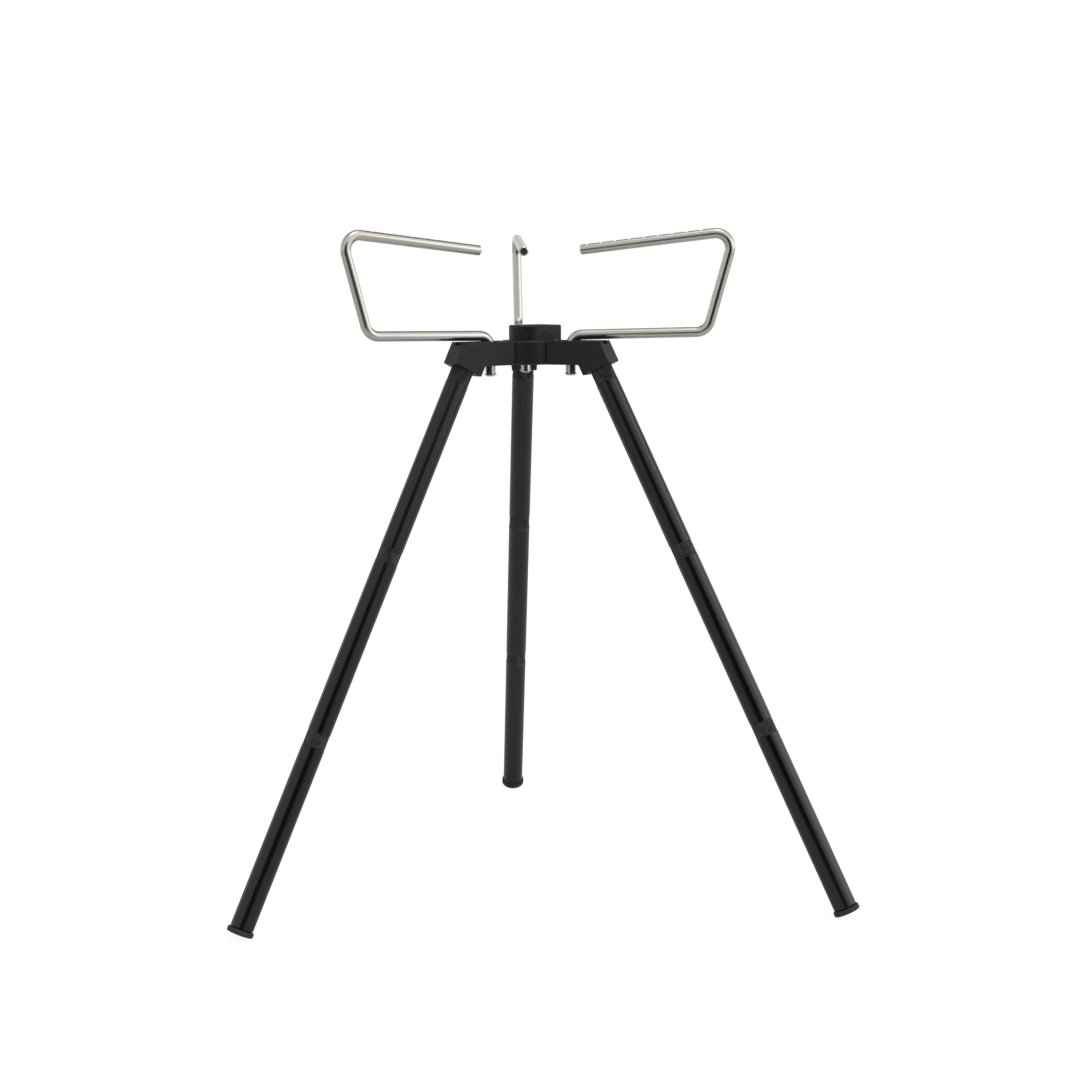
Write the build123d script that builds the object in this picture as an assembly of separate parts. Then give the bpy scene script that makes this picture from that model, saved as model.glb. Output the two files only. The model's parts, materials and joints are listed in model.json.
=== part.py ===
from build123d import *
import os
from math import cos, radians, sin, sqrt, tan

# Campfire tripod grate: a three-armed hub on three screw-together legs, carrying
# three bent rods that a pot stands on. Millimetres, +Z up. The origin is on the
# ground, straight below the hub's axis.

# ---- Driving dimensions ----------------------------------------------------------
ARM_ANGLES = {"left": 210, "rear": 90, "right": 330}   # direction of each arm and leg
LEG_TILT = 26.3          # lean of each leg from the vertical, degrees
TUBE_D = 16.0            # leg tube, outside
TUBE_WALL = 1.5
SECTION = 133.6          # one screw-in leg section, seam to seam
LOWER_SECTION = 137.9    # the lowest section, seam to its tube's open end
SEAM = 0.3               # shadow gap where two leg sections meet
BAND_D = 15.7            # knurled grip band of a leg collar
BAND_LENGTH = 9.5
TUBE_CHAMFER = 0.5       # outside edge of a tube where its collar starts
END_CHAMFER = 0.15       # its lower end, and the band's upper edge: nearly sharp
THREAD_D = 8.0           # M8 thread, modelled as its plain outside cylinder
STUD_LENGTH = 10.5
THREAD_CLEARANCE = 0.05  # radial, between a stud and its threaded hole
SPIGOT_LENGTH = 10.0     # collar spigot glued into its own tube
INSERT_LENGTH = 13.0     # threaded plug in the lower end of a tube
SLIP = 0.02              # radial slip of a glued or pressed plug

ARM_WIDTH = 18.4
ARM_HEIGHT = 16.8
ARM_CHAMFER = 0.5
DRUM_CHAMFER = 0.9
BOSS_RADIUS = 55.6       # distance of the boss face's centre from the hub's axis
BOSS_DROP = 19.2         # and its depth below the arm's top face
BOSS_LENGTH = 21.9       # boss face, measured outwards along the arm
DRUM_RADIUS = 19.6
ROOT_GAP = 0.8           # shadow gap between the drum and an arm's root
TENON_WIDTH, TENON_HEIGHT, TENON_END = 10.0, 8.0, 11.5
SOCKET_D, SOCKET_LENGTH = 11.0, 12.5

BLOCK_RADIUS = 13.9      # centre block: rounded end about the hub's axis
BLOCK_TAIL = 19.0        # and a square tail that reaches this far
BLOCK_HEIGHT = 10.6
BLOCK_ANGLE = 30
DIMPLE_D, DIMPLE_DEPTH = 1.3, 0.7

ROD_D = 7.0              # pot support rod
ROD_LIFT = 0.3           # the rod's underside above the arm's top face
PIVOT_RADIUS = 32.5      # pivot hole's distance from the hub's axis
PIVOT_CLEARANCE = 0.06
PIVOT_BEND, FRAME_BEND = 8.5, 10.0
STUB_BELOW_ARM = 7.6
LOW_CORNER = (95.8, 1.9)      # corners of the rod's centreline, outwards from the
HIGH_CORNER = (115.0, 70.3)   # pivot and up from the lowest run's start
TIP = (7.4, 58.6)
TIP_CHAMFER = 0.9
NOTCHES, NOTCH_PITCH, FIRST_NOTCH = 9, 10.0, 5.0
NOTCH_RADIUS, NOTCH_DEPTH = 1.2, 0.6
REST_SWIVEL = {"left": -1, "rear": -1, "right": 13}    # how each rod is turned at rest
GROOVE_WIDTH, GROOVE_DEPTH = 7.6, 2.2

CLIP_D, CLIP_THICKNESS, CLIP_DROP = 8.6, 0.8, 5.6
CLIP_GROOVE_D, CLIP_GROOVE_SLACK = 5.6, 0.3
CLIP_MOUTH = 3.6
CLIP_BITE_D, CLIP_BITE_ANGLE = 1.6, 55

PAD_D, PAD_THICKNESS, PAD_EDGE = 18.3, 3.4, 0.8
PAD_NECK_D, PAD_NECK = 11.0, 0.9

SCREW_SLACK = 0.05       # radial, round a screw that passes through a piece
ARM_SCREW_D, ARM_SCREW_HEAD_D, ARM_SCREW_LENGTH = 4.0, 8.0, 12.0
CENTRE_SCREW_D, CENTRE_SCREW_HEAD_D, CENTRE_SCREW_BITE = 5.0, 9.0, 7.5
COUNTERBORE = 5.0        # depth of the centre screw's recess in the drum
FOOT_SCREW_D, FOOT_SCREW_HEAD_D, FOOT_SCREW_BITE = 5.0, 8.2, 9.0
FOOT_SEAT = 1.4          # thickness of rubber under the foot screw's head

# ---- Worked out from them --------------------------------------------------------
TILT = radians(LEG_TILT)
LEG_LENGTH = 2 * SECTION + LOWER_SECTION + PAD_NECK + PAD_THICKNESS
PAD_CENTRE_Z = (PAD_D / 2 - PAD_EDGE) * sin(TILT) + PAD_EDGE * (1 - cos(TILT))
BOSS_Z = PAD_CENTRE_Z + LEG_LENGTH * cos(TILT)
ARM_TOP = BOSS_Z + BOSS_DROP
ARM_BOTTOM = ARM_TOP - ARM_HEIGHT
RUN_Z = ARM_TOP + ROD_LIFT + ROD_D / 2
TUBE_BORE = TUBE_D - 2 * TUBE_WALL
TENON_MIDDLE = (TENON_END + DRUM_RADIUS) / 2


def cylinder(diameter, low, high):
    """An upright cylinder about the local Z axis, between two heights."""
    return Pos(0, 0, low) * extrude(Circle(diameter / 2), high - low)


def cone(low_d, high_d, low, high):
    """An upright cone frustum about the local Z axis, between two heights."""
    return Pos(0, 0, (low + high) / 2) * Cone(low_d / 2, high_d / 2, high - low)


def turned(side):
    """Turns a piece made along +X to the direction of the named arm."""
    return Rot(0, 0, ARM_ANGLES[side])


def down_leg(side):
    """Frame with its origin on the boss face's centre and +Z down the leg."""
    axis = Vector(sin(TILT), 0, -cos(TILT))
    return turned(side) * Plane((BOSS_RADIUS, 0, BOSS_Z), x_dir=(0, 1, 0), z_dir=axis).location


# ---- Hub -------------------------------------------------------------------------
def arm_profile():
    """Side view of an arm: a bar with a boss at its end, square to the leg."""
    half = BOSS_LENGTH / 2
    outer = (BOSS_RADIUS + half * cos(TILT), BOSS_Z + half * sin(TILT))
    inner = (BOSS_RADIUS - half * cos(TILT), BOSS_Z - half * sin(TILT))
    top_end = outer[0] - (ARM_TOP - outer[1]) * tan(TILT)
    crook = inner[0] - (ARM_BOTTOM - inner[1]) * tan(TILT)
    root = DRUM_RADIUS / 2
    return [(root, ARM_TOP), (top_end, ARM_TOP), outer, inner, (crook, ARM_BOTTOM), (root, ARM_BOTTOM)]


def tenon(slip):
    """The square tongue by which an arm is housed in the drum, or its pocket."""
    reach = DRUM_RADIUS + 2
    middle = (TENON_END + reach) / 2
    size = (reach - TENON_END, TENON_WIDTH + 2 * slip, TENON_HEIGHT + 2 * slip)
    return Pos(middle, 0, (ARM_TOP + ARM_BOTTOM) / 2) * Box(*size)


def rod_mouth():
    """The pivot hole's flared mouth, which clears the rod's bend at every swivel."""
    flare = PIVOT_BEND - ROD_D / 2 - 0.2
    depth = PIVOT_BEND - (RUN_Z - ARM_TOP)
    lip = PIVOT_BEND - sqrt(flare**2 - depth**2)
    neck = PIVOT_BEND - flare
    middle = (PIVOT_BEND - flare * cos(radians(40)), -depth + flare * sin(radians(40)))
    edges = Polyline((neck, -depth), (0, -depth), (0, 0), (lip, 0))
    edges += ThreePointArc((lip, 0), middle, (neck, -depth))
    return Pos(PIVOT_RADIUS, 0, ARM_TOP) * revolve(Plane.XZ * make_face(edges), Axis.Z)


def arm(side):
    """One machined arm, with its rod groove, pivot hole and threaded-socket hole."""
    bar = extrude(Plane.XZ * make_face(Polyline(*arm_profile(), close=True)), ARM_WIDTH / 2, both=True)
    bar = chamfer(bar.edges(), ARM_CHAMFER)
    bar -= cylinder(2 * (DRUM_RADIUS + ROOT_GAP), ARM_BOTTOM - 1, ARM_TOP + 1)
    bar += tenon(0)
    reach = BOSS_RADIUS + BOSS_LENGTH - PIVOT_RADIUS
    groove = SlotOverall(2 * reach, GROOVE_WIDTH)
    groove_z = ARM_TOP - GROOVE_DEPTH
    bar -= Pos(PIVOT_RADIUS + reach, 0, groove_z) * extrude(groove, 2 * GROOVE_DEPTH)
    bar -= rod_mouth()
    pivot_d = ROD_D + 2 * PIVOT_CLEARANCE
    bar -= Pos(PIVOT_RADIUS, 0, 0) * cylinder(pivot_d, ARM_BOTTOM - 1, ARM_TOP + 1)
    bar -= Pos(TENON_MIDDLE, 0, 0) * cylinder(ARM_SCREW_D + 2 * SCREW_SLACK, ARM_BOTTOM, ARM_TOP)
    bar = turned(side) * bar
    return bar - down_leg(side) * cylinder(SOCKET_D, -SOCKET_LENGTH, 1)


def hub_drum():
    """The central drum that the three arms are housed in and screwed to."""
    drum = cylinder(2 * DRUM_RADIUS, ARM_BOTTOM, ARM_TOP)
    drum = chamfer(drum.edges().filter_by(GeomType.CIRCLE), DRUM_CHAMFER)
    drum -= cylinder(CENTRE_SCREW_D + 2 * SCREW_SLACK, ARM_BOTTOM - 1, ARM_TOP + 1)
    drum -= cylinder(CENTRE_SCREW_HEAD_D + 4 * SCREW_SLACK, ARM_BOTTOM - 1, ARM_BOTTOM + COUNTERBORE)
    for side in ARM_ANGLES:
        drum -= turned(side) * tenon(SLIP)
        drum -= turned(side) * Pos(TENON_MIDDLE, 0, 0) * arm_screw(SCREW_SLACK)
    return drum


def arm_screw(slack):
    """A countersunk M4 screw up through the drum's underside into a tenon."""
    wide, narrow = ARM_SCREW_HEAD_D + 2 * slack, ARM_SCREW_D + 2 * slack
    head_bottom, head_top = ARM_BOTTOM + 0.3, ARM_BOTTOM + 2.5
    screw = cone(wide, narrow, head_bottom, head_top)
    screw += cylinder(narrow, head_top, ARM_BOTTOM + ARM_SCREW_LENGTH)
    if slack:
        return screw + cylinder(wide, ARM_BOTTOM - 1, head_bottom)
    socket = cylinder(2.4, ARM_BOTTOM, ARM_BOTTOM + 1.4)
    return screw - socket


def arm_screws():
    """The three countersunk screws that hold the arms' tenons."""
    place = Pos(TENON_MIDDLE, 0, 0)
    return Compound([turned(side) * place * arm_screw(0) for side in ARM_ANGLES])


def leg_sockets():
    """Three threaded steel sockets pressed into the arms' bosses."""
    socket = cylinder(SOCKET_D - 2 * SLIP, -SOCKET_LENGTH, 0) - cylinder(THREAD_D, -SOCKET_LENGTH + 1, 1)
    return Compound([down_leg(side) * socket for side in ARM_ANGLES])


def centre_block():
    """The raised block on the drum: round about the axis, with a square tail."""
    plan = Circle(BLOCK_RADIUS) + Pos(BLOCK_TAIL / 2, 0) * Rectangle(BLOCK_TAIL, 2 * BLOCK_RADIUS)
    block = extrude(plan, BLOCK_HEIGHT)
    upright = block.edges().filter_by(Axis.Z).sort_by(Axis.X)[-2:]
    block = fillet(upright, 1.5)
    block = fillet(block.faces().sort_by(Axis.Z)[-1].edges(), 1.1)
    for along, height in ((1.4, 3.2), (10.0, 3.6)):
        dimple = Rot(90, 0, 0) * cylinder(DIMPLE_D, BLOCK_RADIUS - DIMPLE_DEPTH, BLOCK_RADIUS + 1)
        block -= Pos(along, 0, height) * dimple
    block -= cylinder(CENTRE_SCREW_D, -1, CENTRE_SCREW_BITE + 0.5)
    return Pos(0, 0, ARM_TOP) * Rot(0, 0, BLOCK_ANGLE) * block


def centre_screw():
    """The cap screw up through the drum into the centre block."""
    seat = ARM_BOTTOM + COUNTERBORE
    head = cylinder(CENTRE_SCREW_HEAD_D, ARM_BOTTOM + 0.4, seat)
    socket = cylinder(4, ARM_BOTTOM, ARM_BOTTOM + 2.6)
    return head - socket + cylinder(CENTRE_SCREW_D, seat, ARM_TOP + CENTRE_SCREW_BITE)


# ---- Pot supports ----------------------------------------------------------------
def along_run(start, end, distance):
    """The point that lies a distance along the line from one point to another."""
    step = Vector(*end) - Vector(*start)
    return Vector(*start) + step * (distance / step.length)


def support_rod(side):
    """One bent steel rod: pivot stub, low run, leaning limb and notched top arm."""
    corners = [(0, 0, ARM_BOTTOM - STUB_BELOW_ARM - RUN_Z), (0, 0, 0)]
    corners += [(x, 0, z) for x, z in (LOW_CORNER, HIGH_CORNER, TIP)]
    path = FilletPolyline(*corners, radius=[PIVOT_BEND, FRAME_BEND, FRAME_BEND])
    rod = sweep(Plane(corners[0], z_dir=(0, 0, 1)) * Circle(ROD_D / 2), path)
    ends = rod.faces().filter_by(GeomType.PLANE).edges()
    rod = chamfer(ends, TIP_CHAMFER)
    tip, high = corners[4], corners[3]
    slope = (Vector(*high) - Vector(*tip)).normalized()
    up = Vector(-slope.Z, 0, slope.X)
    for number in range(NOTCHES):
        spot = along_run(tip, high, FIRST_NOTCH + number * NOTCH_PITCH)
        spot += up * (ROD_D / 2 - NOTCH_DEPTH + NOTCH_RADIUS)
        rod -= Pos(*spot) * Rot(90, 0, 0) * Cylinder(NOTCH_RADIUS, ROD_D + 2)
    groove_z = ARM_BOTTOM - CLIP_DROP - CLIP_THICKNESS / 2 - RUN_Z
    half = (CLIP_THICKNESS + CLIP_GROOVE_SLACK) / 2
    ring = cylinder(ROD_D + 2, groove_z - half, groove_z + half)
    rod -= ring - cylinder(CLIP_GROOVE_D, groove_z - half, groove_z + half)
    place = turned(side) * Pos(PIVOT_RADIUS, 0, RUN_Z) * Rot(0, 0, REST_SWIVEL[side])
    return place * rod


def support_clip(side):
    """The spring-steel E-clip that keeps a rod's stub from lifting out of its hole."""
    top = ARM_BOTTOM - CLIP_DROP
    inner_d = CLIP_GROOVE_D + 0.2
    clip = cylinder(CLIP_D, top - CLIP_THICKNESS, top) - cylinder(inner_d, top - 2, top + 1)
    clip -= Pos(0, -CLIP_D / 2, top) * Box(CLIP_MOUTH, CLIP_D, 4)
    for angle in (CLIP_BITE_ANGLE, 180 - CLIP_BITE_ANGLE):
        clip -= Rot(0, 0, angle) * Pos(inner_d / 2, 0, 0) * cylinder(CLIP_BITE_D, top - 2, top + 1)
    return turned(side) * Pos(PIVOT_RADIUS, 0, 0) * clip


# ---- Legs ------------------------------------------------------------------------
def collar():
    """A knurled collar: threaded stud up, grip band, spigot into its own tube."""
    stud = cylinder(THREAD_D - 2 * THREAD_CLEARANCE, -STUD_LENGTH, SEAM + 0.5)
    stud = chamfer(stud.edges().sort_by(Axis.Z)[0], 0.8)
    band = cylinder(BAND_D, SEAM, SEAM + BAND_LENGTH)
    band = chamfer(band.edges().filter_by(GeomType.CIRCLE).sort_by(Axis.Z)[0], END_CHAMFER)
    foot = SEAM + BAND_LENGTH
    return stud + band + cylinder(TUBE_BORE - 2 * SLIP, foot - 0.5, foot + SPIGOT_LENGTH)


def tube(length):
    """A leg tube, from its collar's band to its lower end, chamfered outside."""
    start = SEAM + BAND_LENGTH
    body = cylinder(TUBE_D, start, length)
    body = chamfer(body.edges().filter_by(GeomType.CIRCLE).sort_by(Axis.Z)[0], TUBE_CHAMFER)
    body = chamfer(body.edges().filter_by(GeomType.CIRCLE).sort_by(Axis.Z)[-1], END_CHAMFER)
    return body - cylinder(TUBE_BORE, start - 1, length + 1)


def thread_insert():
    """The threaded plug flush in the lower end of the upper and middle tubes."""
    plug = cylinder(TUBE_BORE - 2 * SLIP, SECTION - INSERT_LENGTH, SECTION)
    return plug - cylinder(THREAD_D, SECTION - INSERT_LENGTH - 1, SECTION + 1)


def foot_plug():
    """The plug in the lowest tube's end, tapped M5 for the foot's screw."""
    plug = cylinder(TUBE_BORE - 2 * SLIP, LOWER_SECTION - INSERT_LENGTH, LOWER_SECTION)
    return plug - cylinder(FOOT_SCREW_D, LOWER_SECTION - INSERT_LENGTH - 1, LOWER_SECTION + 1)


def foot_pad():
    """The moulded rubber disc foot, on a short neck under the tube's end."""
    face = LOWER_SECTION + PAD_NECK
    disc = cylinder(PAD_D, face, face + PAD_THICKNESS)
    disc = fillet(disc.edges().filter_by(GeomType.CIRCLE), PAD_EDGE)
    pad = disc + cylinder(PAD_NECK_D, LOWER_SECTION, face + 0.5)
    pad -= cylinder(FOOT_SCREW_D, LOWER_SECTION - 1, face + PAD_THICKNESS + 1)
    return pad - cylinder(FOOT_SCREW_HEAD_D + 0.2, face + FOOT_SEAT, face + PAD_THICKNESS + 1)


def foot_screw():
    """The pan-head screw up through the foot pad, its head sunk in the rubber."""
    seat = LOWER_SECTION + PAD_NECK + FOOT_SEAT
    head = cylinder(FOOT_SCREW_HEAD_D, seat, seat + 1.5)
    socket = cylinder(2.6, seat + 0.6, seat + 2)
    return head - socket + cylinder(FOOT_SCREW_D, LOWER_SECTION - FOOT_SCREW_BITE, seat)


def leg_pieces():
    """Every piece of one leg, in the frame that runs down it from the boss."""
    pieces = {}
    for number, name in enumerate(("upper", "middle", "lower")):
        lower = name == "lower"
        shift = Pos(0, 0, number * SECTION)
        pieces[name + "_collar"] = shift * collar()
        pieces[name + "_tube"] = shift * tube(LOWER_SECTION if lower else SECTION)
        if not lower:
            pieces[name + "_insert"] = shift * thread_insert()
    for name, piece in (("foot_plug", foot_plug()), ("foot_pad", foot_pad()), ("foot_screw", foot_screw())):
        pieces[name] = Pos(0, 0, 2 * SECTION) * piece
    return pieces


# ---- Every sub-part, written as one STEP file each -------------------------------
nodes = {
    "hub_drum": hub_drum(),
    "arm_screws": arm_screws(),
    "leg_sockets": leg_sockets(),
    "centre_block": centre_block(),
    "centre_screw": centre_screw(),
}
for side in ARM_ANGLES:
    nodes["arm_" + side] = arm(side)
    nodes["support_rod_" + side] = support_rod(side)
    nodes["support_clip_" + side] = support_clip(side)
    for name, piece in leg_pieces().items():
        nodes[name + "_" + side] = down_leg(side) * piece

os.makedirs("parts", exist_ok=True)
for name, piece in nodes.items():
    export_step(piece, "parts/" + name + ".step")
print("arm top", round(ARM_TOP, 2), "pieces", len(nodes))
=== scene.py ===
import json
from math import atan2, cos, radians, sin, tau

import bmesh
import bpy
from mathutils import Matrix, Vector


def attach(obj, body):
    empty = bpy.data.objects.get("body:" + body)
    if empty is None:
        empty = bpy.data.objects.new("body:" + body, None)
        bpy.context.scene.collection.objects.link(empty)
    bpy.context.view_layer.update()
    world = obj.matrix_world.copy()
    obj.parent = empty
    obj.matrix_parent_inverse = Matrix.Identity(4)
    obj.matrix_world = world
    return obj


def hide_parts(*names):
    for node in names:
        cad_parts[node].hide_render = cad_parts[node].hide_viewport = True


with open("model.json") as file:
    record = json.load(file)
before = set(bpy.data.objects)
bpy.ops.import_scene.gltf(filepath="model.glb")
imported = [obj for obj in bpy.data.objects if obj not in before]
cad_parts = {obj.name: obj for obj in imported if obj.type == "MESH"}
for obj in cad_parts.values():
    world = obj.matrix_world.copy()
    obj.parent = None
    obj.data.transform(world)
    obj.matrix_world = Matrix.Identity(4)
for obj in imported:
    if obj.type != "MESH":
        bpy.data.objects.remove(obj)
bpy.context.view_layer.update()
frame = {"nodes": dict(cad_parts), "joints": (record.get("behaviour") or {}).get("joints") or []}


# ---- Studio ----------------------------------------------------------------------
# A white seamless floor in a bright white surround, with three soft lights. Dark
# patches ahead and overhead, out of view, put the dark strips on steel and tubes.
scene = bpy.context.scene
CAMERA_TURN, CAMERA_DISTANCE, CAMERA_HEIGHT = -4.21, 1.3266, 0.4365
CAMERA_PAN, CAMERA_PITCH, CAMERA_ROLL = -0.29, -8.12, 0.52
CAMERA_LENS, SENSOR_WIDTH, CAMERA_REACH = 62.3, 36.0, 50

camera_data = bpy.data.cameras.new("camera")
camera_data.lens = CAMERA_LENS
camera_data.sensor_width = SENSOR_WIDTH
camera_data.clip_end = CAMERA_REACH
camera = bpy.data.objects.new("camera", camera_data)
scene.collection.objects.link(camera)
stand = (
    Matrix.Translation((0, 0, CAMERA_HEIGHT))
    @ Matrix.Rotation(radians(CAMERA_TURN), 4, "Z")
    @ Matrix.Translation((0, -CAMERA_DISTANCE, 0))
)
aim = (
    Matrix.Rotation(radians(CAMERA_PAN), 4, "Z")
    @ Matrix.Rotation(radians(CAMERA_PITCH), 4, "X")
    @ Matrix.Rotation(radians(CAMERA_ROLL), 4, "Y")
    @ Matrix.Rotation(radians(90), 4, "X")
)
camera.matrix_world = stand @ aim
scene.camera = camera
scene.view_settings.view_transform = "Standard"

FLOOR_HALF = 60.0
BACKDROP_GLOW = 1.0                    # what the camera sees behind the object
SURROUND_GLOW = 0.85                   # what lights the object and shows in the steel
FLOOR_GLOW, FLOOR_MATT = 0.9, 0.2      # the seen floor: its own light, and what takes a shadow
SWEEP_TONES = 0.72, 0.02               # the reflected floor, clear and in its dark wedge
WEDGE_BEARING = -0.79, -0.92           # how nearly ahead the wedge starts and is full
WEDGE_REACH = 0.5, 1.4                 # how far out it starts and is full

floor_mesh = bmesh.new()
bmesh.ops.create_grid(floor_mesh, x_segments=1, y_segments=1, size=FLOOR_HALF)
floor_data = bpy.data.meshes.new("floor")
floor_mesh.to_mesh(floor_data)
floor_mesh.free()
floor = bpy.data.objects.new("floor", floor_data)
scene.collection.objects.link(floor)


def wired(tree, kind, settings=None, inputs=None):
    """A new node with its properties set and its inputs set or linked."""
    node = tree.nodes.new(kind)
    for key, value in (settings or {}).items():
        setattr(node, key, value)
    for key, value in (inputs or {}).items():
        if isinstance(value, bpy.types.NodeSocket):
            tree.links.new(value, node.inputs[key])
        else:
            node.inputs[key].default_value = value
    return node


def faded(tree, value, edges, levels=(0.0, 1.0)):
    """A soft step between two levels, as a value crosses from one edge to the other."""
    (start, end), (low, high) = edges, levels
    return wired(
        tree, "ShaderNodeMapRange", {"interpolation_type": "SMOOTHSTEP"},
        {"Value": value, "From Min": start, "From Max": end, "To Min": low, "To Max": high},
    ).outputs[0]


def product(tree, first, second):
    """One value times another."""
    return wired(tree, "ShaderNodeMath", {"operation": "MULTIPLY"}, {0: first, 1: second}).outputs[0]


def ranged(tree, value, low, high):
    """A value from 0 to 1 spread over a range."""
    inputs = {"Value": value, "To Min": low, "To Max": high}
    return wired(tree, "ShaderNodeMapRange", None, inputs).outputs[0]


def seen_or_lighting(tree, lighting, seen):
    """One shader for what the camera sees and another for all other light."""
    ray = wired(tree, "ShaderNodeLightPath")
    return wired(tree, "ShaderNodeMixShader", None,
                 {0: ray.outputs["Is Camera Ray"], 1: lighting.outputs[0], 2: seen.outputs[0]})


floor_paint = bpy.data.materials.new("white_floor")
floor_paint.use_nodes = True
paint = floor_paint.node_tree
paint.nodes.clear()
from_middle = wired(paint, "ShaderNodeTexCoord").outputs["Object"]
outward = wired(paint, "ShaderNodeVectorMath", {"operation": "NORMALIZE"}, {0: from_middle})
bearing = wired(paint, "ShaderNodeSeparateXYZ", None, {0: outward.outputs[0]}).outputs[1]
reach = wired(paint, "ShaderNodeVectorMath", {"operation": "LENGTH"}, {0: from_middle})
wedge = product(
    paint,
    faded(paint, bearing, WEDGE_BEARING),
    faded(paint, reach.outputs["Value"], WEDGE_REACH),
)
sweep = wired(paint, "ShaderNodeBsdfDiffuse", None, {"Color": ranged(paint, wedge, *SWEEP_TONES)})
matt = wired(paint, "ShaderNodeBsdfDiffuse", None, {"Color": (FLOOR_MATT, FLOOR_MATT, FLOOR_MATT, 1)})
glow = wired(paint, "ShaderNodeEmission", None, {"Strength": FLOOR_GLOW})
bright = wired(paint, "ShaderNodeAddShader", None, {0: matt.outputs[0], 1: glow.outputs[0]})
floor_mix = seen_or_lighting(paint, sweep, bright)
wired(paint, "ShaderNodeOutputMaterial", None, {"Surface": floor_mix.outputs[0]})
floor_data.materials.append(floor_paint)

surround = bpy.data.worlds.new("studio")
scene.world = surround
surround.use_nodes = True
sky = surround.node_tree
sky.nodes.clear()

# Edges are parts of a unit direction: its y for depth, z for height and x for side.
GAP_DEPTH, GAP_HEIGHT, GAP_DARKNESS = (-0.83, -0.94), (0.62, 0.44), 0.99
CEILING_DEPTH, CEILING_LOW, CEILING_HIGH = (0.1, 0.35), (0.2, 0.34), (0.9, 0.8)
CEILING_DARKNESS = 0.8
SIDE_EDGES, SIDE_LEVELS = (-0.9, 0.9), (0.84, 1.25)      # dimmer on the left than the right
SURROUND_TINT = (1, 0.995, 0.98, 1)


def unlit(share):
    """What is left of the light where a share of it is missing."""
    return wired(sky, "ShaderNodeMath", {"operation": "SUBTRACT"}, {0: 1.0, 1: share}).outputs[0]


looking = wired(sky, "ShaderNodeTexCoord")
across, depth, height = wired(
    sky, "ShaderNodeSeparateXYZ", None, {0: looking.outputs["Generated"]}
).outputs
gap = product(sky, faded(sky, depth, GAP_DEPTH, (0.0, GAP_DARKNESS)), faded(sky, height, GAP_HEIGHT))
ceiling = product(
    sky,
    product(sky, faded(sky, depth, CEILING_DEPTH), faded(sky, height, CEILING_LOW)),
    faded(sky, height, CEILING_HIGH, (0.0, CEILING_DARKNESS)),
)
level = product(
    sky,
    product(sky, unlit(gap), unlit(ceiling)),
    faded(sky, across, SIDE_EDGES, SIDE_LEVELS),
)
strength = product(sky, level, SURROUND_GLOW)
lit = wired(sky, "ShaderNodeBackground", None, {"Color": SURROUND_TINT, "Strength": strength})
seen = wired(sky, "ShaderNodeBackground", None, {"Color": (1, 1, 1, 1), "Strength": BACKDROP_GLOW})
sky_mix = seen_or_lighting(sky, lit, seen)
wired(sky, "ShaderNodeOutputWorld", None, {"Surface": sky_mix.outputs[0]})

LIGHTS_AIM = Vector((0, 0, 0.3))


def softbox(name, place, size, power):
    """A rectangular studio light, aimed at the middle of the object."""
    light = bpy.data.lights.new(name, "AREA")
    light.shape = "RECTANGLE"
    light.size, light.size_y = size
    light.energy = power
    lamp = bpy.data.objects.new(name, light)
    scene.collection.objects.link(lamp)
    lamp.location = place
    lamp.rotation_euler = (LIGHTS_AIM - Vector(place)).to_track_quat("-Z", "Y").to_euler()


softbox("side_light_right", place=(1.7, -0.4, 0.7), size=(1.2, 1.6), power=4.5)
softbox("side_light_left", place=(-1.5, 1.1, 1.2), size=(0.8, 1.6), power=2)
softbox("top_light", place=(0.1, -0.4, 2.0), size=(1.0, 1.0), power=3)


# ---- Hub -------------------------------------------------------------------------
# The drum, three arms and centre block are machined aluminium, bead-blasted and
# anodised black: a fine even sparkle, and bare-looking grey along handled edges.
def in_group(name, inputs, outputs):
    """An empty shader node group with named number sockets, and its two end nodes."""
    group = bpy.data.node_groups.new(name, "ShaderNodeTree")
    for label, value in inputs.items():
        made = group.interface.new_socket(label, in_out="INPUT", socket_type="NodeSocketFloat")
        made.default_value = value
    for label in outputs:
        group.interface.new_socket(label, in_out="OUTPUT", socket_type="NodeSocketFloat")
    return group, group.nodes.new("NodeGroupInput"), group.nodes.new("NodeGroupOutput")


def worn_edge_group():
    """Mask that is 1 along convex edges, broken up by noise: where a finish rubs off."""
    group, start, end = in_group("worn_edge", {"Radius": 0.0006, "Amount": 0.5}, ("Mask",))
    soft = wired(group, "ShaderNodeBevel", {"samples": 6}, {"Radius": start.outputs["Radius"]})
    hard = wired(group, "ShaderNodeNewGeometry")
    likeness = wired(group, "ShaderNodeVectorMath", {"operation": "DOT_PRODUCT"},
                     {0: soft.outputs[0], 1: hard.outputs["Normal"]})
    edge = wired(group, "ShaderNodeMapRange", None,
                 {"Value": likeness.outputs["Value"], "From Min": 0.995, "From Max": 0.86})
    place = wired(group, "ShaderNodeTexCoord")
    patches = wired(group, "ShaderNodeTexNoise", None,
                    {"Vector": place.outputs["Object"], "Scale": 260.0, "Detail": 4.0})
    broken = wired(group, "ShaderNodeMapRange", None,
                   {"Value": patches.outputs[0], "From Min": 0.38, "From Max": 0.62})
    both = product(group, edge.outputs[0], broken.outputs[0])
    amount = wired(group, "ShaderNodeMath", {"operation": "MULTIPLY", "use_clamp": True},
                   {0: both, 1: start.outputs["Amount"]})
    group.links.new(amount.outputs[0], end.inputs["Mask"])
    return group


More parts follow.
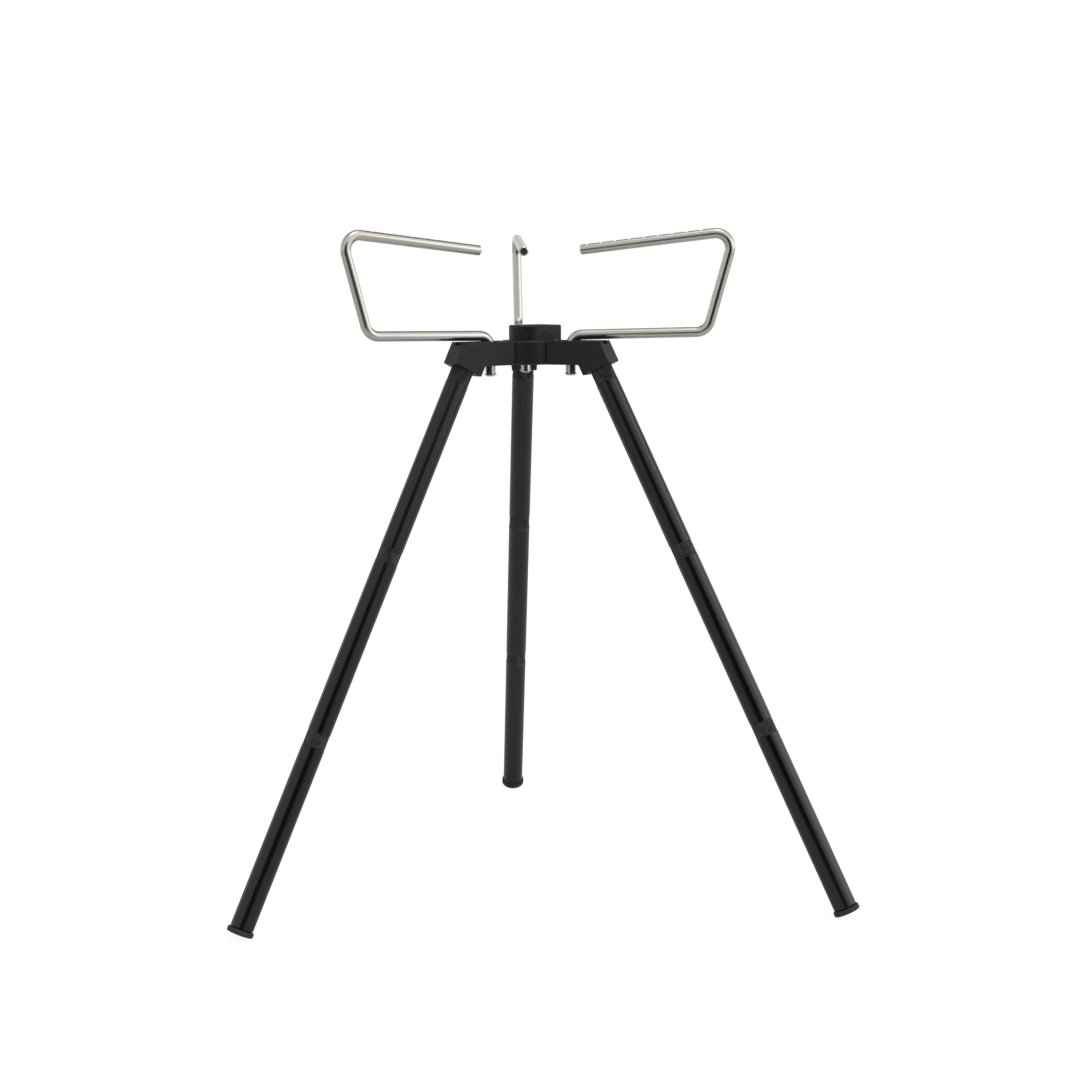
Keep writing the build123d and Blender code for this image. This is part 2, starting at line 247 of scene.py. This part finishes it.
def grain_group():
    """Fine isotropic grain: a height for bump and a mask of its brightest specks."""
    group, start, end = in_group("blasted_grain", {"Size": 0.0004}, ("Height", "Specks", "Clouds"))
    place = wired(group, "ShaderNodeTexCoord")
    finer = wired(group, "ShaderNodeMath", {"operation": "DIVIDE"},
                  {0: 1.0, 1: start.outputs["Size"]})
    pits = wired(group, "ShaderNodeTexNoise", None,
                 {"Vector": place.outputs["Object"], "Scale": finer.outputs[0],
                  "Detail": 2.0, "Roughness": 0.6})
    specks = wired(group, "ShaderNodeMapRange", None,
                   {"Value": pits.outputs[0], "From Min": 0.56, "From Max": 0.72})
    clouds = wired(group, "ShaderNodeTexNoise", None,
                   {"Vector": place.outputs["Object"], "Scale": 45.0, "Detail": 3.0})
    group.links.new(pits.outputs[0], end.inputs["Height"])
    group.links.new(specks.outputs[0], end.inputs["Specks"])
    group.links.new(clouds.outputs[0], end.inputs["Clouds"])
    return group


WORN_EDGE = worn_edge_group()
GRAIN = grain_group()


def finish_material(name, metallic):
    """A new node material and its Principled shader."""
    material = bpy.data.materials.new(name)
    material.use_nodes = True
    shader = material.node_tree.nodes["Principled BSDF"]
    shader.inputs["Metallic"].default_value = metallic
    return material, material.node_tree, shader


MIX_FACTOR, MIX_FIRST, MIX_SECOND, MIX_COLOUR = 0, 6, 7, 2     # a colour Mix node's sockets


def mixed(tree, factor, first, second):
    """A colour mixed from two by a factor."""
    inputs = {MIX_FACTOR: factor, MIX_FIRST: first, MIX_SECOND: second}
    return wired(tree, "ShaderNodeMix", {"data_type": "RGBA"}, inputs).outputs[MIX_COLOUR]


def edge_wear(tree, radius, amount):
    """The mask of one finish's rubbed edges."""
    return wired(tree, "ShaderNodeGroup", {"node_tree": WORN_EDGE},
                 {"Radius": radius, "Amount": amount}).outputs["Mask"]


def grained(tree, size):
    """The grain group's outputs, at one size of grain."""
    return wired(tree, "ShaderNodeGroup", {"node_tree": GRAIN}, {"Size": size}).outputs


def bumped(tree, shader, height, strength, distance):
    """Feeds a height through a bump into the shader's normal."""
    bump = wired(tree, "ShaderNodeBump", None,
                 {"Height": height, "Strength": strength, "Distance": distance})
    tree.links.new(bump.outputs[0], shader.inputs["Normal"])


BLASTED_GRAIN, BLASTED_BUMP = 0.0005, 0.0002
BLASTED_DARK, BLASTED_PALE = (0.0035, 0.0035, 0.0036, 1), (0.0065, 0.0065, 0.0066, 1)
BLASTED_SPECK, BLASTED_RUBBED = (0.06, 0.059, 0.056, 1), (0.075, 0.073, 0.07, 1)


def blasted_black():
    """Bead-blasted aluminium, anodised black."""
    material, tree, shader = finish_material("blasted_black", 0.0)
    grain = grained(tree, BLASTED_GRAIN)
    dull = mixed(tree, grain["Clouds"], BLASTED_DARK, BLASTED_PALE)
    specked = mixed(tree, grain["Specks"], dull, BLASTED_SPECK)
    rubbed = mixed(tree, edge_wear(tree, 0.0004, 0.5), specked, BLASTED_RUBBED)
    tree.links.new(rubbed, shader.inputs["Base Color"])
    tree.links.new(ranged(tree, grain["Height"], 0.3, 0.6), shader.inputs["Roughness"])
    shader.inputs["Specular IOR Level"].default_value = 0.38
    bumped(tree, shader, grain["Height"], 0.7, BLASTED_BUMP)
    return material


cad_nodes = frame["nodes"]


def dress(node, material):
    """Gives a CAD node's object one material."""
    slots = cad_nodes[node].data.materials
    slots.clear()
    slots.append(material)
    for face in cad_nodes[node].data.polygons:
        face.material_index = 0


hub_black = blasted_black()
for piece in ("hub_drum", "centre_block", "arm_left", "arm_rear", "arm_right"):
    dress(piece, hub_black)


# ---- Screws and threaded sockets -------------------------------------------------
# Black-oxide socket screws under the hub and in the feet, and plated steel
# sockets and inserts that the leg studs screw into; seen when a leg comes off.
OXIDE_DARK, OXIDE_PALE = (0.05, 0.05, 0.052, 1), (0.11, 0.105, 0.1, 1)
PLATED_DARK, PLATED_PALE = (0.48, 0.47, 0.45, 1), (0.62, 0.61, 0.58, 1)
OXIDE_GRAIN, PLATED_GRAIN, SCREW_BUMP = 0.0003, 0.0006, 0.00005


def black_oxide():
    """Blackened steel, faintly oily."""
    material, tree, shader = finish_material("black_oxide", 1.0)
    grain = grained(tree, OXIDE_GRAIN)
    tone = mixed(tree, grain["Clouds"], OXIDE_DARK, OXIDE_PALE)
    tree.links.new(tone, shader.inputs["Base Color"])
    tree.links.new(ranged(tree, grain["Clouds"], 0.28, 0.5), shader.inputs["Roughness"])
    bumped(tree, shader, grain["Height"], 0.2, SCREW_BUMP)
    return material


def plated_steel():
    """Bright zinc-plated steel with a fine, slightly dulled grain."""
    material, tree, shader = finish_material("plated_steel", 1.0)
    grain = grained(tree, PLATED_GRAIN)
    tone = mixed(tree, grain["Clouds"], PLATED_DARK, PLATED_PALE)
    tree.links.new(tone, shader.inputs["Base Color"])
    tree.links.new(ranged(tree, grain["Height"], 0.22, 0.42), shader.inputs["Roughness"])
    bumped(tree, shader, grain["Height"], 0.15, SCREW_BUMP)
    return material


screw_black = black_oxide()
plated = plated_steel()
dress("arm_screws", screw_black)
dress("centre_screw", screw_black)
dress("leg_sockets", plated)


# ---- Pot supports ----------------------------------------------------------------
# Three bent rods of bright-drawn stainless steel, lightly marked by handling, with
# cross notches that keep a pan from sliding, and a spring clip on each stub.
SIDES = ("left", "rear", "right")
STEEL_DARK, STEEL_PALE = (0.54, 0.518, 0.48, 1), (0.64, 0.617, 0.578, 1)
STEEL_BUMP = 0.00002


def noise(tree, vector, scale, detail):
    """A noise between 0 and 1, its scale in cycles per metre."""
    return wired(tree, "ShaderNodeTexNoise", None,
                 {"Vector": vector, "Scale": scale, "Detail": detail}).outputs[0]


def stainless():
    """Bright-drawn stainless steel with faint handling marks."""
    material, tree, shader = finish_material("stainless_rod", 1.0)
    place = wired(tree, "ShaderNodeTexCoord").outputs["Object"]
    fine = noise(tree, place, 1400.0, 2.0)
    smear = noise(tree, place, 90.0, 4.0)
    tree.links.new(mixed(tree, smear, STEEL_DARK, STEEL_PALE), shader.inputs["Base Color"])
    tree.links.new(ranged(tree, product(tree, fine, smear), 0.17, 0.36), shader.inputs["Roughness"])
    bumped(tree, shader, fine, 0.02, STEEL_BUMP)
    return material


rod_steel = stainless()
for side in SIDES:
    dress("support_rod_" + side, rod_steel)
    dress("support_clip_" + side, rod_steel)


# ---- Leg tubes -------------------------------------------------------------------
# Drawn aluminium tube, anodised satin black: smooth, with a faint grain along it.
SATIN_DARK, SATIN_PALE = (0.0015, 0.0015, 0.0015, 1), (0.0028, 0.0028, 0.0028, 1)
SATIN_RUBBED, SATIN_BUMP = (0.07, 0.069, 0.066, 1), 0.00004
DRAWN_LENGTHWAYS = (1.0, 1.0, 0.02)    # stretches a noise into lines along the leg


def leg_axis(side):
    """Unit vector down the named leg, from its joint in the frame."""
    joint = next(j for j in frame["joints"] if j["name"] == "upper_leg_unscrew_" + side)
    return Vector(joint["axis"]).normalized()


def satin_tube(side):
    """Satin black anodised tube, its drawing lines along this leg."""
    material, tree, shader = finish_material("anodised_tube_" + side, 0.0)
    place = wired(tree, "ShaderNodeTexCoord").outputs["Object"]
    turn = leg_axis(side).rotation_difference(Vector((0, 0, 1))).to_euler()
    upright = wired(tree, "ShaderNodeMapping", None, {"Vector": place, "Rotation": tuple(turn)})
    stretched = wired(tree, "ShaderNodeMapping", None,
                      {"Vector": upright.outputs[0], "Scale": DRAWN_LENGTHWAYS})
    lines = noise(tree, stretched.outputs[0], 2200.0, 2.0)
    clouds = noise(tree, place, 30.0, 4.0)
    tone = mixed(tree, clouds, SATIN_DARK, SATIN_PALE)
    rubbed = mixed(tree, edge_wear(tree, 0.0004, 0.35), tone, SATIN_RUBBED)
    tree.links.new(rubbed, shader.inputs["Base Color"])
    tree.links.new(ranged(tree, lines, 0.17, 0.29), shader.inputs["Roughness"])
    shader.inputs["Specular IOR Level"].default_value = 0.55
    bumped(tree, shader, lines, 0.08, SATIN_BUMP)
    return material


SECTIONS = ("upper", "middle", "lower")
for side in SIDES:
    tube_black = satin_tube(side)
    for section in SECTIONS:
        dress(section + "_tube_" + side, tube_black)


# ---- Leg collars -----------------------------------------------------------------
# Each section's top plug, turned from one aluminium bar: a threaded stud, a
# diamond-knurled grip band and a spigot that is glued into the tube below.
COLUMNS = 64                 # round the collar; two to each diamond of the knurl
KNURL_ROW, KNURL_HEIGHT = 0.00076, 0.00048
BAND_RADIUS, BAND_LENGTH, BAND_EDGE = 0.00785, 0.0095, 0.00015
STUD_RADIUS, STUD_LENGTH, STUD_LEAD, STUD_NECK = 0.00395, 0.0108, 0.0008, 0.0006
THREAD_PITCH, THREAD_DEPTH, THREAD_RUNOUT = 0.00125, 0.00062, 0.001
ROWS_PER_TURN, CREST_SHARE = 8, 1.6    # rings in one turn; above 1, the crests are flats
STUD_ROOT = STUD_RADIUS - THREAD_DEPTH
SHOULDER_RADIUS, SHOULDER_HEIGHT = 0.00755, 0.00025    # fills the joint above the band
SPIGOT_RADIUS, SPIGOT_LENGTH, SPIGOT_CHAMFER = 0.00647, 0.0099, 0.0006
TIP_FLATNESS = 0.00001       # how far apart along the leg the tip's corners may lie
FIRST_RADIUS = 0.001         # of the circle the mesh starts from, before it is placed


def tube_start(side, section):
    """Where a section's tube begins, just under the collar's band: found from the
    flat tip of the collar's stud, a stud and a band's length further up the leg."""
    axis = leg_axis(side)
    corners = [vert.co for vert in cad_nodes[section + "_collar_" + side].data.vertices]
    tip_reach = min(corner.dot(axis) for corner in corners)
    tip = [corner for corner in corners if corner.dot(axis) < tip_reach + TIP_FLATNESS]
    middle = [(min(values) + max(values)) / 2 for values in zip(*tip)]
    return Vector(middle) + axis * (STUD_LENGTH + BAND_LENGTH)


def next_ring(mesh, ring):
    """Extrudes a closed ring of edges in place; returns the new vertices and edges."""
    made = bmesh.ops.extrude_edge_only(mesh, edges=ring)["geom"]
    verts = [v for v in made if isinstance(v, bmesh.types.BMVert)]
    return verts, [e for e in made if isinstance(e, bmesh.types.BMEdge)]


def place_ring(verts, along, radius_at):
    """Puts a ring's vertices at one height, each at the radius for its column."""
    for vert in verts:
        angle = atan2(vert.co.y, vert.co.x) % tau
        radius = radius_at(round(angle / tau * COLUMNS) % COLUMNS)
        vert.co = (radius * cos(angle), radius * sin(angle), along)


def thread_radius(along):
    """The stud's radius round one ring: sharp valleys and flat crests, in a helix."""
    def radius(column):
        turn = (along / THREAD_PITCH + column / COLUMNS) % 1
        return STUD_ROOT + THREAD_DEPTH * min(1.0, CREST_SHARE * abs(2 * turn - 1))
    return radius


def knurl_radius(row):
    """Crests and valleys by turns, so that each crest is a small pyramid."""
    return lambda column: BAND_RADIUS - (KNURL_HEIGHT if (row + column) % 2 else 0)


def plain(radius):
    """The same radius all round a ring."""
    return lambda column: radius


def collar_rings():
    """Every ring of the collar, from the stud's tip down: its height and radius rule."""
    tip = -(STUD_LENGTH + BAND_LENGTH)
    step = THREAD_PITCH / ROWS_PER_TURN
    thread_rows = int((STUD_LENGTH - STUD_LEAD - THREAD_RUNOUT) / step)
    thread = [tip + STUD_LEAD + row * step for row in range(thread_rows + 1)]
    shoulder = -BAND_LENGTH - SHOULDER_HEIGHT
    band_end = BAND_RADIUS - BAND_EDGE
    knurl_start = -BAND_LENGTH + BAND_EDGE
    knurl_rows = round((BAND_LENGTH - 2 * BAND_EDGE) / KNURL_ROW)
    return [
        (tip, plain(STUD_RADIUS - STUD_LEAD)),
        *((along, thread_radius(along)) for along in thread),
        (shoulder - STUD_NECK, plain(STUD_ROOT)),
        (shoulder, plain(STUD_ROOT)),
        (shoulder, plain(SHOULDER_RADIUS)),
        (-BAND_LENGTH, plain(SHOULDER_RADIUS)),
        (-BAND_LENGTH, plain(band_end)),
        *((knurl_start + row * KNURL_ROW, knurl_radius(row)) for row in range(knurl_rows + 1)),
        (0, plain(band_end)),
        (0, plain(SPIGOT_RADIUS)),
        (SPIGOT_LENGTH - SPIGOT_CHAMFER, plain(SPIGOT_RADIUS)),
        (SPIGOT_LENGTH, plain(SPIGOT_RADIUS - SPIGOT_CHAMFER)),
    ]


def knurled_collar(side, section):
    """A collar's mesh, built ring by ring down the leg and then set on it."""
    mesh = bmesh.new()
    (along, rule), *others = collar_rings()
    made = bmesh.ops.create_circle(mesh, cap_ends=True, segments=COLUMNS, radius=FIRST_RADIUS)
    ring = list(mesh.edges)
    place_ring(made["verts"], along, rule)
    for along, rule in others:
        verts, ring = next_ring(mesh, ring)
        place_ring(verts, along, rule)
    bmesh.ops.contextual_create(mesh, geom=ring)
    quads = [face for face in mesh.faces if len(face.verts) == 4]
    bmesh.ops.triangulate(mesh, faces=quads, quad_method="SHORT_EDGE")
    bmesh.ops.recalc_face_normals(mesh, faces=mesh.faces)
    crest = mesh.verts.layers.float.new("crest")
    for vert in mesh.verts:
        rise = vert.co.xy.length - (BAND_RADIUS - KNURL_HEIGHT)
        vert[crest] = min(1.0, max(0.0, rise / KNURL_HEIGHT))
    turn = Vector((0, 0, 1)).rotation_difference(leg_axis(side)).to_matrix().to_4x4()
    on_leg = Matrix.Translation(tube_start(side, section)) @ turn
    bmesh.ops.transform(mesh, matrix=on_leg, verts=mesh.verts)
    data = bpy.data.meshes.new("knurled_collar")
    mesh.to_mesh(data)
    mesh.free()
    collar = bpy.data.objects.new(f"knurled_collar_{section}_{side}", data)
    scene.collection.objects.link(collar)
    return collar


KNURL_DARK, KNURL_PALE = (0.002, 0.002, 0.002, 1), (0.004, 0.004, 0.004, 1)
# The crest colour is a painted highlight: pale colour laid on the knurl's peaks to draw its bright
# diagonal lines.
KNURL_CREST_HIGHLIGHT, KNURL_RUBBED = (0.2, 0.197, 0.19, 1), (0.16, 0.156, 0.148, 1)
KNURL_GRAIN, KNURL_BUMP = 0.00035, 0.00005


def knurled_black():
    """Black anodised aluminium, its knurl's crests painted pale: a painted highlight along the
    knurl's ridges.
    """
    material, tree, shader = finish_material("knurled_black", 0.0)
    grain = grained(tree, KNURL_GRAIN)
    tone = mixed(tree, grain["Clouds"], KNURL_DARK, KNURL_PALE)
    crest = wired(tree, "ShaderNodeAttribute",
                  {"attribute_type": "GEOMETRY", "attribute_name": "crest"})
    # Painted highlight: the knurl's peaks are mixed towards the pale crest colour.
    crest_highlight_mask = wired(tree, "ShaderNodeMapRange", None,
                  {"Value": crest.outputs["Fac"], "From Min": 0.5, "From Max": 1.0})
    crest_highlighted = mixed(tree, crest_highlight_mask.outputs[0], tone, KNURL_CREST_HIGHLIGHT)
    rubbed = mixed(tree, edge_wear(tree, 0.00025, 0.9), crest_highlighted, KNURL_RUBBED)
    tree.links.new(rubbed, shader.inputs["Base Color"])
    tree.links.new(ranged(tree, grain["Height"], 0.24, 0.42), shader.inputs["Roughness"])
    shader.inputs["Specular IOR Level"].default_value = 0.45
    bumped(tree, shader, grain["Height"], 0.25, KNURL_BUMP)
    return material


knurl_black = knurled_black()
for side in SIDES:
    for section in SECTIONS:
        collar = knurled_collar(side, section)
        collar.data.materials.append(knurl_black)
        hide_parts(section + "_collar_" + side)
        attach(collar, section + "_leg_" + side)
        if section != "lower":
            dress(section + "_insert_" + side, plated)


# ---- Feet ------------------------------------------------------------------------
# Moulded rubber discs on the tube ends, each held by a screw into a steel plug.
RUBBER_DARK, RUBBER_DUSTY = (0.018, 0.018, 0.018, 1), (0.04, 0.039, 0.037, 1)
RUBBER_GRAIN, RUBBER_BUMP = 0.0005, 0.0001


def foot_rubber():
    """Matt black rubber with a dusty bloom."""
    material, tree, shader = finish_material("foot_rubber", 0.0)
    grain = grained(tree, RUBBER_GRAIN)
    tone = mixed(tree, grain["Clouds"], RUBBER_DARK, RUBBER_DUSTY)
    tree.links.new(tone, shader.inputs["Base Color"])
    tree.links.new(ranged(tree, grain["Clouds"], 0.65, 0.85), shader.inputs["Roughness"])
    bumped(tree, shader, grain["Height"], 0.3, RUBBER_BUMP)
    return material


rubber = foot_rubber()
for side in SIDES:
    dress("foot_pad_" + side, rubber)
    dress("foot_screw_" + side, screw_black)
    dress("foot_plug_" + side, plated)
